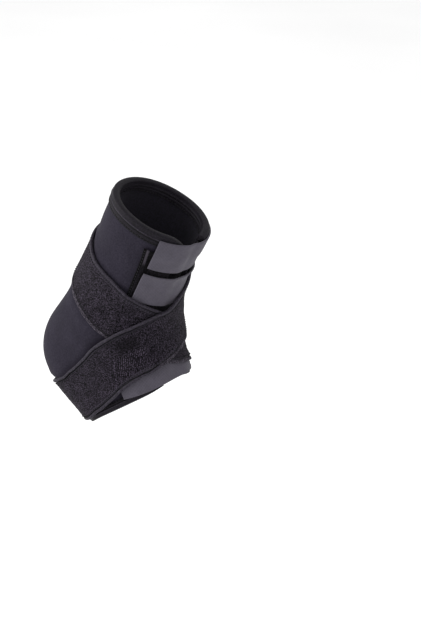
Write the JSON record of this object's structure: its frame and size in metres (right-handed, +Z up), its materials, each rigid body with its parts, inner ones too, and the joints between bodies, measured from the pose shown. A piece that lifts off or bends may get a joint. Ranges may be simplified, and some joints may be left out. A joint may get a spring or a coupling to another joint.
{
  "type": "ankle brace",
  "caption": "Front-opening neoprene ankle wrap, open at leg and foot, with hook tabs over a front gap and two crossed straps around the instep and ankle.",
  "frame": {"origin": "centre of the ankle inside the wrap, where the leg's axis meets the foot; the wearer's ankle holds the brace there", "axes": "+X towards the toes, +Y towards the inner side of a right ankle, -Y the outer side, +Z up; the leg leans 25 degrees forward as worn"},
  "size_m": [0.1378, 0.0865, 0.1952],
  "materials": {
    "neoprene": "smooth charcoal knit-faced neoprene",
    "binding": "folded knit edge tape",
    "loop": "matte loop pile",
    "hook": "matte grey backing of hook tape",
    "strap": "mottled loop-faced elastic"
  },
  "bodies": {
    "root": {"boot_wrap": "neoprene", "top_binding": "binding", "foot_binding": "binding", "closure_strip": "loop", "foot_loop_patch": "loop", "upper_tab": "hook", "middle_tab": "hook", "lower_tab": "hook", "under_strap": "strap", "over_strap": "strap", "under_strap_rim_left": "binding", "under_strap_rim_right": "binding", "over_strap_rim_left": "binding", "over_strap_rim_right": "binding", "under_strap_tip": "hook", "over_strap_tip": "hook"}
  },
  "joints": []
}
